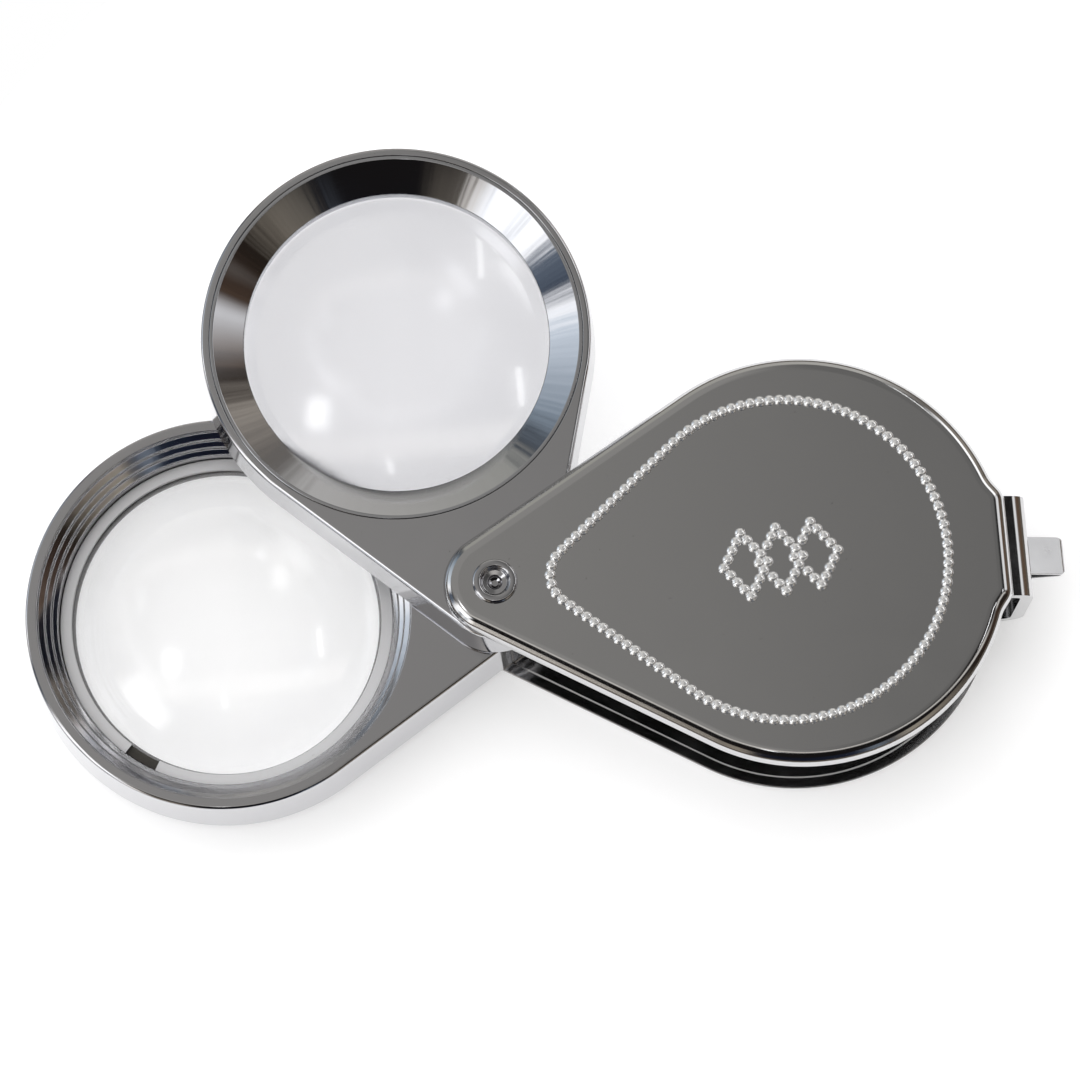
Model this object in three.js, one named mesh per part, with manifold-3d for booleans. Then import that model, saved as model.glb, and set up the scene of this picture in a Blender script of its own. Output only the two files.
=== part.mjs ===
// Folding hand lens: two lens frames swing on one rivet out of a folded metal case.
// Millimetres, +Z up. The origin is on the rest face, under the centre of the case's round end,
// and +X runs from the rivet to the folded strap that carries the lanyard loop.

import * as THREE from 'three';
import { ConvexGeometry } from 'three/addons/geometries/ConvexGeometry.js';
import { mergeVertices } from 'three/addons/utils/BufferGeometryUtils.js';
import Module from 'manifold-3d';

const wasm = await Module();
wasm.setup();

// Case: two dished covers and the strap that joins them, one folded stamping
const caseRadius = 14.05;
const noseRadius = 3.5;
const pivotX = -20.75;
const caseHeight = 12.4;
const sheet = 0.9;
const lipHeight = 1.2;
const edgeRound = 0.45;
const strapWidth = 6.9;
const strapReach = 1.85;
const strapStep = 1.4;
const strapBend = 1.3;
const neckFillet = 1.5;
const joggleStart = 13.4;
const joggleEnd = 14.15;
const strapOverlap = 1.2;

// Lanyard loop, a folded strip staked in a slot of the strap
const loopSheet = 0.3;
const loopWidth = 2.6;
const loopReach = 2.8;
const loopHeight = 2.7;
const loopFlange = 1.2;
const loopFold = 0.25;

// Rivet stack
const shankRadius = 1.0;
const rivetHole = 1.1;
const headRadius = 1.53;
const headRise = 0.3;
const headRoll = 0.15;
const bowlRadius = 0.98;
const bowlDepth = 0.95;
const bowlWall = [[0.7, 0.6], [0.3, 0.75]];
const tailRadius = 1.6;
const tailInset = 0.08;
const tailDepth = 0.68;
const seatPlay = 0.15;
const washerRadius = 2.6;
const washerBore = 1.15;
const topWasherSheet = 0.12;
const springSheet = 0.1;
const springDish = 0.08;
const play = 0.05;

// Lens frames: round end, nose around the rivet and the distance between their centres
const frameReach = 18.65;
const frameNose = 3.6;
const frameChamfer = 0.25;
const bushRadius = 1.6;
const bushBore = 1.07;
const upperTurn = 106.9;
const lowerTurn = 178.8;

// Lens mount: the bores and rings that both frames share
const bezelSeat = 12.8;
const bezelMouth = 12.6;
const lensBore = 11.55;
const lensRadius = 11.4;
const clearRadius = 10.5;
const curvedRadius = 10.4;
const lensEdge = 0.5;
const spacerThickness = 0.15;
const ringThickness = 0.3;
const ringInner = 10.7;
const ringGap = 12;
const landHeight = 0.15;

// What differs between the two frames, with depths measured from the front face
const upperSpec = {
  frontRadius: 13.35,
  backRadius: 13.7,
  thickness: 4.0,
  bezelDepth: 2.55,
  frontSag: 1.35,
  backSag: 0.75,
  steps: [[12.8, 0.15]],
  ringTurn: 200,
};
const lowerSpec = {
  frontRadius: 14.0,
  backRadius: 13.6,
  thickness: 5.4,
  bezelDepth: 0.95,
  frontSag: 1.0,
  backSag: 3.3,
  steps: [[12.8, 0.45], [12.3, 1.0], [11.9, 1.6]],
  ringTurn: 54,
};
const lowerBase = 1.35;
const frameGap = 0.3;
const lowerTop = lowerBase + lowerSpec.thickness;
const upperBase = lowerTop + frameGap;
const upperTop = upperBase + upperSpec.thickness;

// Beadwork on the top cover
const beadSize = 0.6;
const beadRise = 0.25;
const borderX = -1.1;
const borderRadius = 11.0;
const borderTip = 2.2;
const borderTipX = -14.8;
const emblemX = -1.4;
const emblemTilt = 5;
const lozengeLength = 3.0;
const lozengeWidth = 4.4;
const lozengePitch = 2.4;

// How far a cutting solid reaches past the metal that it cuts
const overrun = 1;

const arcSteps = 15;
const boreSteps = 48;
const smallSteps = 24;
const lensSteps = 5;

const metals = {
  caseChrome: { color: 0x8d8d8b, roughness: 0.12, metalness: 1 },
  beadChrome: { color: 0xd4d4d2, roughness: 0.15, metalness: 1 },
  loopSteel: { color: 0xb4b4b4, roughness: 0.25, metalness: 1 },
  rivetChrome: { color: 0x9a9a9a, roughness: 0.1, metalness: 1 },
  washerBrass: { color: 0xb59a57, roughness: 0.35, metalness: 1 },
  springSteel: { color: 0x84868a, roughness: 0.3, metalness: 1 },
  frameChrome: { color: 0xa8a9ab, roughness: 0.1, metalness: 1 },
  bezelMirror: { color: 0x6f6d6b, roughness: 0.05, metalness: 1 },
  bushBrass: { color: 0xb08f4a, roughness: 0.3, metalness: 1 },
  ringSteel: { color: 0xc4c3bf, roughness: 0.3, metalness: 1 },
  spacerFibre: { color: 0x3a3836, roughness: 0.8, metalness: 0 },
  lensGlass: { color: 0xe8eaec, roughness: 0.02, metalness: 0 },
};

function solidOf(geometry) {
  geometry.deleteAttribute('normal');
  geometry.deleteAttribute('uv');
  const merged = mergeVertices(geometry, 1e-5);
  return new wasm.Manifold(new wasm.Mesh({
    numProp: 3,
    vertProperties: Float32Array.from(merged.attributes.position.array),
    triVerts: Uint32Array.from(merged.index.array),
  }));
}

function geometryOf(solid) {
  const mesh = solid.getMesh();
  const geometry = new THREE.BufferGeometry();
  geometry.setAttribute('position', new THREE.BufferAttribute(mesh.vertProperties, 3));
  geometry.setIndex(new THREE.BufferAttribute(mesh.triVerts, 1));
  geometry.computeVertexNormals();
  return geometry;
}

function node(name, geometry, metal) {
  const mesh = new THREE.Mesh(geometry, new THREE.MeshStandardMaterial(metal));
  mesh.name = name;
  return mesh;
}

function degrees(angle) {
  return THREE.MathUtils.degToRad(angle);
}

// Two round ends joined by their common tangents
function teardrop(noseX, nose, roundX, round) {
  const tangent = Math.PI / 2 + Math.asin((round - nose) / (roundX - noseX));
  const shape = new THREE.Shape();
  shape.absarc(roundX, 0, round, -tangent, tangent, false);
  shape.absarc(noseX, 0, nose, tangent, 2 * Math.PI - tangent, false);
  return shape;
}

// A flat plate from bottom to top, its edges bevelled if a bevel is given
function plate(shape, bottom, top, bevel = 0) {
  const geometry = new THREE.ExtrudeGeometry(shape, {
    depth: top - bottom - 2 * bevel,
    bevelEnabled: bevel > 0,
    bevelThickness: bevel,
    bevelSize: bevel,
    bevelOffset: -bevel,
    bevelSegments: 2,
    curveSegments: arcSteps,
  });
  geometry.translate(0, 0, bottom + bevel);
  return geometry;
}

// A profile of [radius, height] points turned about the Z axis
function turned(profile, steps) {
  const points = profile.map(([radius, height]) => new THREE.Vector2(radius, height));
  if (THREE.ShapeUtils.isClockWise(points)) points.reverse();
  return new THREE.LatheGeometry(points, steps).rotateX(Math.PI / 2);
}

function turnedRing(inner, outer, bottom, top, steps) {
  return turned([[inner, bottom], [outer, bottom], [outer, top], [inner, top], [inner, bottom]], steps);
}

function turnedDisc(radius, bottom, top, steps) {
  return turned([[0, bottom], [radius, bottom], [radius, top], [0, top]], steps);
}

function block(x0, x1, y0, y1, z0, z1) {
  const geometry = new THREE.BoxGeometry(x1 - x0, y1 - y0, z1 - z0);
  return geometry.translate((x0 + x1) / 2, (y0 + y1) / 2, (z0 + z1) / 2);
}

// A folded strip: a centre line in the XZ plane, given a thickness and a width along Y
function foldedStrip(path, steps, thickness, width) {
  const points = path.getPoints(steps);
  const runs = points.slice(1).map((point, index) => point.clone().sub(points[index]).normalize());
  const sides = [1, -1].map((side) => points.map((point, index) => {
    const incoming = runs[Math.max(index - 1, 0)];
    const outgoing = runs[Math.min(index, runs.length - 1)];
    const along = incoming.clone().add(outgoing).normalize();
    const mitre = thickness / 2 / along.dot(incoming);
    return new THREE.Vector2(point.x - side * along.y * mitre, point.y + side * along.x * mitre);
  }));
  const shape = new THREE.Shape([...sides[0], ...sides[1].reverse()]);
  const geometry = new THREE.ExtrudeGeometry(shape, { depth: width, bevelEnabled: false });
  return geometry.translate(0, 0, -width / 2).rotateX(Math.PI / 2);
}

// The neck in plan: the strap's width, filleted into the round end
function neckPlan() {
  const half = strapWidth / 2;
  const centreX = Math.sqrt((caseRadius + neckFillet) ** 2 - (half + neckFillet) ** 2);
  const meet = Math.atan2(half + neckFillet, centreX);
  const end = caseRadius + strapReach + overrun;
  const shape = new THREE.Shape();
  shape.moveTo(end, -half);
  shape.lineTo(end, half);
  shape.absarc(centreX, half + neckFillet, neckFillet, -Math.PI / 2, meet - Math.PI, true);
  shape.lineTo(caseRadius / 2, half);
  shape.lineTo(caseRadius / 2, -half);
  shape.absarc(centreX, -half - neckFillet, neckFillet, Math.PI - meet, Math.PI / 2, true);
  return shape;
}

// Strap: from the top cover, down a step, round the back and up to the bottom cover
function strapPath() {
  const outer = caseRadius + strapReach;
  const bendX = outer - strapBend;
  const mid = strapBend - sheet / 2;
  const high = caseHeight - strapStep - strapBend;
  const low = strapStep + strapBend;
  const path = new THREE.Path();
  path.moveTo(joggleStart - strapOverlap, caseHeight - sheet / 2);
  path.lineTo(joggleStart, caseHeight - sheet / 2);
  path.lineTo(joggleEnd, caseHeight - strapStep - sheet / 2);
  path.absarc(bendX, high, mid, Math.PI / 2, 0, true);
  path.absarc(bendX, low, mid, 0, -Math.PI / 2, true);
  path.lineTo(joggleEnd, strapStep + sheet / 2);
  path.lineTo(joggleStart, sheet / 2);
  path.lineTo(joggleStart - strapOverlap, sheet / 2);
  return path;
}

// Top cover: a flat plate with a rounded edge and a short lip turned down
function topCover() {
  const outline = teardrop(pivotX, noseRadius, 0, caseRadius);
  const inside = teardrop(pivotX, noseRadius - sheet, 0, caseRadius - sheet);
  const far = 2 * caseRadius;
  const lipEdge = caseHeight - lipHeight;
  const body = solidOf(plate(outline, lipEdge - overrun, caseHeight, edgeRound));
  const below = solidOf(block(-far, far, -far, far, lipEdge - 2 * overrun, lipEdge));
  const recess = solidOf(plate(inside, lipEdge - overrun, caseHeight - sheet));
  return body.subtract(below).subtract(recess);
}

function foldedCase() {
  const top = topCover();
  const bottom = top.mirror([0, 0, 1]).translate([0, 0, caseHeight]);
  const neckEnd = caseRadius + strapReach + overrun;
  const above = caseHeight + overrun;
  const half = strapWidth / 2;
  const neckCut = solidOf(block(joggleStart, neckEnd, -half, half, -overrun, above));
  const wide = solidOf(foldedStrip(strapPath(), 5, sheet, 3 * strapWidth));
  const strap = wide.intersect(solidOf(plate(neckPlan(), -overrun, above)));
  const topHole = turnedDisc(rivetHole, caseHeight - sheet - overrun, above, smallSteps);
  const seatRadius = tailRadius + seatPlay;
  const seatTop = sheet + overrun;
  const seat = [
    [0, -overrun], [seatRadius, -overrun], [seatRadius, tailInset],
    [rivetHole, tailDepth], [rivetHole, seatTop], [0, seatTop],
  ];
  const slotHalf = loopWidth / 2 + play;
  const slotMiddle = caseHeight / 2;
  const slot = block(
    caseRadius, neckEnd, -slotHalf, slotHalf,
    slotMiddle - loopHeight / 2 - play, slotMiddle + loopHeight / 2 + play,
  );
  return top.add(bottom).subtract(neckCut).add(strap)
    .subtract(solidOf(topHole.translate(pivotX, 0, 0)))
    .subtract(solidOf(turned(seat, smallSteps).translate(pivotX, 0, 0)))
    .subtract(solidOf(slot));
}

// Loop: level lower leg, tip folded back, upper leg sloping up to the strap, ends spread inside
function lanyardLoop() {
  const wall = caseRadius + strapReach;
  const inside = wall - sheet - play - loopSheet / 2;
  const low = caseHeight / 2 - loopHeight / 2 + loopSheet / 2;
  const high = caseHeight / 2 + loopHeight / 2 - loopSheet / 2;
  const tip = wall + loopReach - loopSheet / 2;
  const path = new THREE.Path();
  path.moveTo(inside, low - loopFlange);
  path.lineTo(inside, low);
  path.lineTo(tip - loopFold, low);
  path.absarc(tip - loopFold, low + loopFold, loopFold, -Math.PI / 2, Math.PI / 4, false);
  path.lineTo(wall, high);
  path.lineTo(inside, high);
  path.lineTo(inside, high + loopFlange);
  return foldedStrip(path, 4, loopSheet, loopWidth);
}

// Tubular rivet: flush tail in the bottom cover, rolled head and bowl above the top cover
function pivotRivet() {
  const face = caseHeight + play / 2;
  const top = caseHeight + headRise;
  const bowl = bowlWall.map(([radius, depth]) => [radius, top - depth]);
  return turned([
    [0, tailInset],
    [tailRadius, tailInset],
    [shankRadius, tailDepth],
    [shankRadius, face],
    [headRadius, face],
    [headRadius, top - headRoll],
    [headRadius - headRoll, top],
    [bowlRadius + headRoll, top],
    [bowlRadius, top - headRoll],
    ...bowl,
    [0, top - bowlDepth],
  ], smallSteps).translate(pivotX, 0, 0);
}

function flatWasher(bottom, top) {
  return turnedRing(washerBore, washerRadius, bottom, top, smallSteps).translate(pivotX, 0, 0);
}

// A thin dished washer, its inner edge higher than its rim
function springWasher(bottom) {
  return turned([
    [washerBore, bottom + springDish],
    [washerRadius, bottom],
    [washerRadius, bottom + springSheet],
    [washerBore, bottom + springDish + springSheet],
    [washerBore, bottom + springDish],
  ], smallSteps).translate(pivotX, 0, 0);
}

// The bead line's raised ground, a teardrop band
function beadBorder() {
  const half = beadSize / 2;
  const band = teardrop(borderTipX, borderTip + half, borderX, borderRadius + half);
  band.holes.push(teardrop(borderTipX, borderTip - half, borderX, borderRadius - half));
  return plate(band, caseHeight + play / 2, caseHeight + beadRise);
}

function lozenge(centreX) {
  const shape = new THREE.Shape();
  shape.moveTo(centreX + lozengeLength / 2, 0);
  shape.lineTo(centreX, lozengeWidth / 2);
  shape.lineTo(centreX - lozengeLength / 2, 0);
  shape.lineTo(centreX, -lozengeWidth / 2);
  return solidOf(plate(shape, caseHeight + play / 2, caseHeight + beadRise));
}

// Three linked lozenges in a row
function beadEmblem() {
  const row = [-1, 0, 1].map((place) => lozenge(place * lozengePitch));
  const joined = row[0].add(row[1]).add(row[2]);
  return geometryOf(joined).rotateZ(degrees(emblemTilt)).translate(emblemX, 0, 0);
}

// The frame's blank: a teardrop block with drafted walls and chamfered edges
function frameBlank(spec) {
  const slope = (spec.backRadius - spec.frontRadius) / spec.thickness;
  const nose = frameNose - spec.frontRadius;
  const levels = [
    [0, -frameChamfer],
    [frameChamfer, 0],
    [spec.thickness - frameChamfer, 0],
    [spec.thickness, -frameChamfer],
  ];
  const points = levels.flatMap(([height, inset]) => {
    const round = spec.frontRadius + slope * height + inset;
    const outline = teardrop(0, nose + round, frameReach, round).getPoints(arcSteps);
    return outline.map((point) => new THREE.Vector3(point.x, point.y, height));
  });
  return new ConvexGeometry(points);
}

// A lens frame in its own place: rivet axis at the origin, front face at z = 0, back face up
function lensFrame(spec) {
  const back = spec.thickness;
  const shoulder = spec.bezelDepth + play;
  const bore = [[0, -overrun], [bezelSeat, -overrun], [bezelSeat, shoulder], [lensBore, shoulder]];
  const steps = [...spec.steps].reverse();
  let radius = lensBore;
  for (const [stepRadius, depth] of steps) {
    bore.push([radius, back - depth], [stepRadius, back - depth]);
    radius = stepRadius;
  }
  bore.push([radius, back + overrun], [0, back + overrun]);
  return solidOf(frameBlank(spec))
    .subtract(solidOf(turned(bore, boreSteps).translate(frameReach, 0, 0)))
    .subtract(solidOf(turnedDisc(bushRadius + play, -overrun, back + overrun, smallSteps)));
}

// Polished funnel between the front face and the lens
function bezel(spec) {
  const outer = bezelSeat - play;
  return turned([
    [bezelMouth, 0],
    [outer, 0],
    [outer, spec.bezelDepth],
    [clearRadius, spec.bezelDepth],
    [clearRadius, spec.bezelDepth - landHeight],
    [bezelMouth, 0],
  ], boreSteps);
}

// Height of a spherical lens face above its rim, at a part of its radius
function bulge(sag, part) {
  const sphere = (curvedRadius ** 2 + sag ** 2) / (2 * sag);
  return Math.sqrt(sphere ** 2 - (curvedRadius * part) ** 2) - (sphere - sag);
}

// Biconvex lens with a flat ground rim that sits behind the bezel
function lens(spec) {
  const front = spec.bezelDepth + 2 * play;
  const back = front + lensEdge;
  const parts = Array.from({ length: lensSteps + 1 }, (_, step) => step / lensSteps);
  const frontSide = parts.map((part) => [curvedRadius * part, front - bulge(spec.frontSag, part)]);
  const backSide = parts.map((part) => [curvedRadius * part, back + bulge(spec.backSag, part)]);
  const rim = [[lensRadius, front], [lensRadius, back]];
  return turned([...frontSide, ...rim, ...backSide.reverse()], boreSteps);
}

function spacerRing(spec) {
  const bottom = spec.bezelDepth + lensEdge + 3 * play;
  return turnedRing(ringInner + play, lensRadius, bottom, bottom + spacerThickness, boreSteps);
}

// Springy retaining ring, split by a narrow gap
function retainingRing(spec) {
  const bottom = spec.bezelDepth + lensEdge + spacerThickness + 4 * play;
  const half = degrees(ringGap / 2);
  const turn = degrees(spec.ringTurn);
  const shape = new THREE.Shape();
  shape.absarc(0, 0, lensBore - play, turn + half, turn - half + 2 * Math.PI, false);
  shape.absarc(0, 0, ringInner, turn - half + 2 * Math.PI, turn + half, true);
  return plate(shape, bottom, bottom + ringThickness);
}

// One swinging frame with all that it carries
function swingingFrame(side, spec) {
  const group = new THREE.Group();
  const optics = new THREE.Group();
  optics.position.x = frameReach;
  optics.add(
    node(`${side}_bezel`, bezel(spec), metals.bezelMirror),
    node(`${side}_lens`, lens(spec), metals.lensGlass),
    node(`${side}_spacer_ring`, spacerRing(spec), metals.spacerFibre),
    node(`${side}_retaining_ring`, retainingRing(spec), metals.ringSteel),
  );
  const bush = turnedRing(bushBore, bushRadius, 0, spec.thickness, smallSteps);
  group.add(
    node(`${side}_lens_frame`, geometryOf(lensFrame(spec)), metals.frameChrome),
    node(`${side}_pivot_bush`, bush, metals.bushBrass),
    optics,
  );
  return group;
}

const handLens = new THREE.Group();
const topWasher = upperTop + play;

handLens.add(
  node('folded_case', geometryOf(foldedCase()), metals.caseChrome),
  node('bead_border', beadBorder(), metals.beadChrome),
  node('bead_emblem', beadEmblem(), metals.beadChrome),
  node('lanyard_loop', lanyardLoop(), metals.loopSteel),
  node('pivot_rivet', pivotRivet(), metals.rivetChrome),
  node('bottom_washer', flatWasher(sheet + play, lowerBase - play), metals.washerBrass),
  node('middle_washer', flatWasher(lowerTop + play, upperBase - play), metals.washerBrass),
  node('top_washer', flatWasher(topWasher, topWasher + topWasherSheet), metals.washerBrass),
  node('spring_washer', springWasher(topWasher + topWasherSheet + play), metals.springSteel),
);

// Lower frame: front face down, so the back and its retaining ring face up
const lower = swingingFrame('lower', lowerSpec);
lower.position.set(pivotX, 0, lowerBase);
lower.rotation.z = degrees(lowerTurn);

// Upper frame: turned over, so the polished funnel faces up
const upper = new THREE.Group();
const upperFlipped = swingingFrame('upper', upperSpec);
upperFlipped.rotation.x = Math.PI;
upper.add(upperFlipped);
upper.position.set(pivotX, 0, upperTop);
upper.rotation.z = degrees(upperTurn);

handLens.add(lower, upper);

export default handLens;
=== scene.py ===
import math

import bpy
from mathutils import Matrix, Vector


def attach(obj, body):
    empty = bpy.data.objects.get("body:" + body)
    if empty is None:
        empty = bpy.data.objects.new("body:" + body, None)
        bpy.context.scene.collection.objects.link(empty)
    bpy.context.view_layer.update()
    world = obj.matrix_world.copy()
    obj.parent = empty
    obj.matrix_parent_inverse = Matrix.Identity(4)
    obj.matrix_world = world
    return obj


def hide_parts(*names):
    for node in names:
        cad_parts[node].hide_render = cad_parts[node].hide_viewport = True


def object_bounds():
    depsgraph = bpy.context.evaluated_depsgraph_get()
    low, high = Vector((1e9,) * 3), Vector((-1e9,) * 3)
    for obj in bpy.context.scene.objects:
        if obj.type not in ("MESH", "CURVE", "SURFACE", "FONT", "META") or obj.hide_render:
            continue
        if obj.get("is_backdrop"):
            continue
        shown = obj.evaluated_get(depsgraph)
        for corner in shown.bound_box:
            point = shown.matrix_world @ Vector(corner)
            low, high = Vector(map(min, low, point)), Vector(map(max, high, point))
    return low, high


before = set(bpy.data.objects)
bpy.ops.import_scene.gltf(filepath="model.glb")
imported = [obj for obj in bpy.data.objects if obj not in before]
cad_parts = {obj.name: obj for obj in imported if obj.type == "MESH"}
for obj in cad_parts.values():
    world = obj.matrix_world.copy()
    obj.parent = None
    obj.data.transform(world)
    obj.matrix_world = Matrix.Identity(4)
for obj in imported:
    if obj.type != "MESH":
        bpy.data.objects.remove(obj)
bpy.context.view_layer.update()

# Folding hand lens. Pieces are modelled in millimetres and brought to metres when placed.
metresPerMm = 0.001
rivetX = -20.75
caseTop = 12.4
frameReach = 18.65  # from the rivet to the middle of each lens


def deselectAll():
    if bpy.context.mode != "OBJECT":
        bpy.ops.object.mode_set(mode="OBJECT")
    bpy.ops.object.select_all(action="DESELECT")
    bpy.context.view_layer.objects.active = None


def pick(piece):
    deselectAll()
    piece.select_set(True)
    bpy.context.view_layer.objects.active = piece


def nameNew(name):
    piece = bpy.context.object
    piece.name = name
    piece.data.name = name
    return piece


def bakePlace(piece):
    pick(piece)
    bpy.ops.object.transform_apply(location=True, rotation=True, scale=True)


def editMode():
    bpy.ops.object.mode_set(mode="EDIT")


def objectMode():
    bpy.ops.object.mode_set(mode="OBJECT")


def selectEdges(piece, wanted):  # wanted looks at the two ends of an edge
    editMode()
    bpy.ops.mesh.select_mode(type="EDGE")
    bpy.ops.mesh.select_all(action="DESELECT")
    objectMode()
    points = piece.data.vertices
    for edge in piece.data.edges:
        edge.select = wanted(points[edge.vertices[0]].co, points[edge.vertices[1]].co)
    editMode()


def selectFaces(piece, wanted):  # wanted looks at a face's middle and normal
    editMode()
    bpy.ops.mesh.select_mode(type="FACE")
    bpy.ops.mesh.select_all(action="DESELECT")
    objectMode()
    for face in piece.data.polygons:
        face.select = wanted(face.center, face.normal)
    editMode()


def addModifier(piece, kind, **settings):
    pick(piece)
    modifier = piece.modifiers.new(kind.title(), kind)
    for key, value in settings.items():
        setattr(modifier, key, value)
    bpy.ops.object.modifier_apply(modifier=modifier.name)


def cutAway(piece, tool, operation="DIFFERENCE"):
    addModifier(piece, "BOOLEAN", operation=operation, solver="EXACT", object=tool)
    bpy.data.objects.remove(tool)


def joinPieces(name, pieces):
    pick(pieces[0])
    for piece in pieces[1:]:
        piece.select_set(True)
    bpy.ops.object.join()
    return nameNew(name)


def softenEdges(piece, width, steps=3, angle=30):
    if width:
        addModifier(
            piece, "BEVEL", width=width, segments=steps, limit_method="ANGLE",
            angle_limit=math.radians(angle), use_clamp_overlap=True, miter_outer="MITER_ARC",
        )
    pick(piece)
    bpy.ops.object.shade_smooth_by_angle(angle=math.radians(angle + 8))
    addModifier(piece, "WEIGHTED_NORMAL", keep_sharp=True, weight=60)


def setPlace(piece, turn=0, base=0, flipped=False, atRivet=True):
    piece.rotation_euler = (math.pi if flipped else 0, 0, math.radians(turn))
    piece.location = (rivetX * metresPerMm if atRivet else 0, 0, base * metresPerMm)
    piece.scale = (metresPerMm, metresPerMm, metresPerMm)
    bakePlace(piece)


def handOver(piece, body, slotName, material, *nodes):
    piece.data.materials.clear()
    piece.data.materials.append(material)
    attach(piece, body)
    if nodes:
        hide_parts(*nodes)
    print("made", piece.name, len(piece.data.polygons), "faces")


def softCorners(points, radii, steps=5):  # each inner corner of a path becomes a small arc
    path = [points[0]]
    for before, corner, after, radius in zip(points, points[1:], points[2:], radii):
        into = Vector(corner) - Vector(before)
        away = Vector(after) - Vector(corner)
        half = into.angle(away) / 2
        if radius == 0 or half < 0.01:
            path.append(corner)
            continue
        reach = radius * math.tan(half)
        start = Vector(corner) - into.normalized() * reach
        inward = (away.normalized() - into.normalized()).normalized()
        centre = Vector(corner) + inward * radius / math.cos(half)
        side = 1 if into.x * away.y > into.y * away.x else -1
        for step in range(steps + 1):
            arm = (start - centre).copy()
            turn = side * 2 * half * step / steps
            path.append((
                centre.x + arm.x * math.cos(turn) - arm.y * math.sin(turn),
                centre.y + arm.x * math.sin(turn) + arm.y * math.cos(turn),
            ))
    return path + [points[-1]]


def drawPath(name, path, offset=0):  # a chain of edges in the XZ plane, extruded point by point
    deselectAll()
    bpy.ops.mesh.primitive_plane_add(size=0.02, location=(path[0][0] + offset, 0, path[0][1]))
    piece = nameNew(name)
    bakePlace(piece)
    editMode()
    bpy.ops.mesh.select_mode(type="VERT")
    bpy.ops.mesh.select_all(action="SELECT")
    bpy.ops.mesh.merge(type="CENTER")
    for before, after in zip(path, path[1:]):
        step = (after[0] - before[0], 0, after[1] - before[1])
        bpy.ops.mesh.extrude_vertices_move(TRANSFORM_OT_translate={"value": step})
    return piece


def turnedPiece(name, path, steps=128, offset=0, sweep=360, start=0):
    piece = drawPath(name, path, offset)
    bpy.ops.mesh.select_all(action="SELECT")
    if start:
        bpy.ops.transform.rotate(
            value=-math.radians(start), orient_axis="Z", center_override=(offset, 0, 0)
        )
    bpy.ops.mesh.spin(
        steps=steps, angle=math.radians(sweep), center=(offset, 0, 0), axis=(0, 0, 1)
    )
    bpy.ops.mesh.select_all(action="SELECT")
    bpy.ops.mesh.remove_doubles(threshold=0.0008)
    if sweep < 360:
        bpy.ops.mesh.select_all(action="DESELECT")
        bpy.ops.mesh.select_non_manifold()
        bpy.ops.mesh.edge_face_add()
        bpy.ops.mesh.select_all(action="SELECT")
    bpy.ops.mesh.normals_make_consistent(inside=False)
    objectMode()
    return piece


def teardropBlank(name, ends, bottom, top):  # ends: x, radius at the bottom, radius at the top
    deselectAll()
    piece = None
    for x, low, high in ends:
        bpy.ops.mesh.primitive_cone_add(
            vertices=160, radius1=low, radius2=high, depth=top - bottom,
            location=(x, 0, (bottom + top) / 2),
        )
        if piece is None:
            piece = nameNew(name)
            editMode()
    bpy.ops.mesh.select_all(action="SELECT")
    bpy.ops.mesh.convex_hull()
    bpy.ops.mesh.select_all(action="SELECT")
    bpy.ops.mesh.dissolve_limited(angle_limit=math.radians(0.4))
    bpy.ops.mesh.normals_make_consistent(inside=False)
    objectMode()
    bakePlace(piece)
    return piece


def roundTool(radius, low, high, x=0):
    deselectAll()
    bpy.ops.mesh.primitive_cylinder_add(
        vertices=64, radius=radius, depth=high - low, location=(x, 0, (low + high) / 2)
    )
    tool = nameNew("roundTool")
    bakePlace(tool)
    return tool


def foldedStrip(name, path, width, thickness):
    piece = drawPath(name, path)
    bpy.ops.mesh.select_all(action="SELECT")
    bpy.ops.mesh.extrude_region_move(TRANSFORM_OT_translate={"value": (0, width, 0)})
    bpy.ops.mesh.select_all(action="SELECT")
    bpy.ops.transform.translate(value=(0, -width / 2, 0))
    bpy.ops.mesh.normals_make_consistent(inside=False)
    objectMode()
    addModifier(
        piece, "SOLIDIFY", thickness=thickness, offset=0, use_even_offset=True,
    )
    return piece


def fromHex(code):  # sRGB hex to linear colour
    parts = [int(code[place:place + 2], 16) / 255 for place in (0, 2, 4)]
    linear = [part / 12.92 if part <= 0.04045 else ((part + 0.055) / 1.055) ** 2.4
              for part in parts]
    return (*linear, 1)


def addNode(tree, kind, settings=None, links=None):
    node = tree.nodes.new(kind)
    for key, value in (settings or {}).items():
        if isinstance(key, int) or key in node.inputs:
            node.inputs[key].default_value = value
        else:
            setattr(node, key, value)
    for key, (source, output) in (links or {}).items():
        tree.links.new(source.outputs[output], node.inputs[key])
    return node


def newMaterial(name, **settings):
    material = bpy.data.materials.new(name)
    material.use_nodes = True
    shader = material.node_tree.nodes["Principled BSDF"]
    for key, value in settings.items():
        shader.inputs[key.replace("_", " ")].default_value = value
    return material, material.node_tree, shader


plating = {
    "rubScale": 6000.0, "rubStretch": 0.06,  # rubbing lines about 0.16 mm apart
    "speckSize": 0.25, "speckStart": 0.79, "speckFull": 0.84, "speckDulling": 0.25,
    "speckColour": "8f8d8a",
}


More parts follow.
